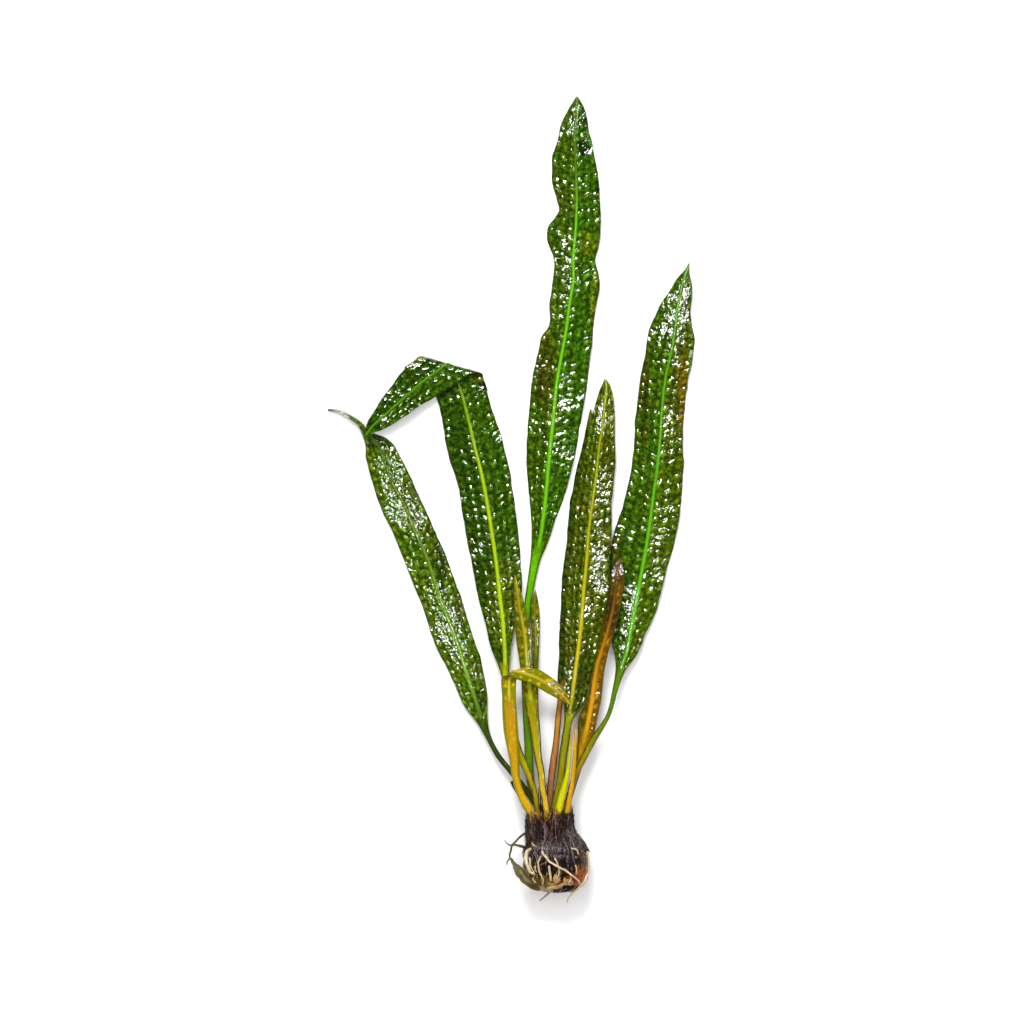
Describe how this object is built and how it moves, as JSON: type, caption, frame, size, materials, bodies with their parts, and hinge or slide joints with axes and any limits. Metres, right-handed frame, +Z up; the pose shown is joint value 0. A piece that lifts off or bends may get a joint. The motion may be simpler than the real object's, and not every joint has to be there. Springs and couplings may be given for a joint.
{
  "type": "aquarium plant, aponogeton boivinianus",
  "caption": "Bare-root aquarium plant lying down: a round tuber with a fibre collar, long blistered strap leaves, young leaves and roots.",
  "frame": {"origin": "centre of the tuber's small resting flat, on the surface that the plant lies on", "axes": "+Y from the tuber towards the leaf tips, +Z up from the surface, +X to the plant's right in the picture"},
  "size_m": [0.1469, 0.3224, 0.0296],
  "materials": {
    "tuber_skin": "satin",
    "collar_fibre": "matte",
    "tall_blade": "gloss",
    "folded_blade": "gloss",
    "left_blade": "gloss",
    "middle_blade": "gloss",
    "right_blade": "gloss",
    "hidden_blade": "gloss",
    "amber_blade": "gloss",
    "curled_blade": "gloss",
    "narrow_blade": "gloss",
    "short_blade": "gloss",
    "green_shoot_skin": "gloss",
    "amber_shoot_skin": "gloss",
    "stub_skin": "satin",
    "root_skin": "satin"
  },
  "bodies": {
    "root": {"tuber": "tuber_skin", "collar": "collar_fibre", "tall_leaf": "tall_blade", "folded_leaf": "folded_blade", "left_leaf": "left_blade", "middle_leaf": "middle_blade", "right_leaf": "right_blade", "hidden_leaf": "hidden_blade", "amber_leaf": "amber_blade", "curled_leaf": "curled_blade", "narrow_leaf": "narrow_blade", "short_leaf": "short_blade", "green_shoot": "green_shoot_skin", "amber_shoot": "amber_shoot_skin", "petiole_stub": "stub_skin", "root_1": "root_skin", "root_2": "root_skin", "root_3": "root_skin", "root_4": "root_skin", "root_5": "root_skin", "root_6": "root_skin", "root_7": "root_skin", "root_8": "root_skin", "root_9": "root_skin", "root_10": "root_skin", "fleshy_root": "root_skin"}
  },
  "joints": []
}
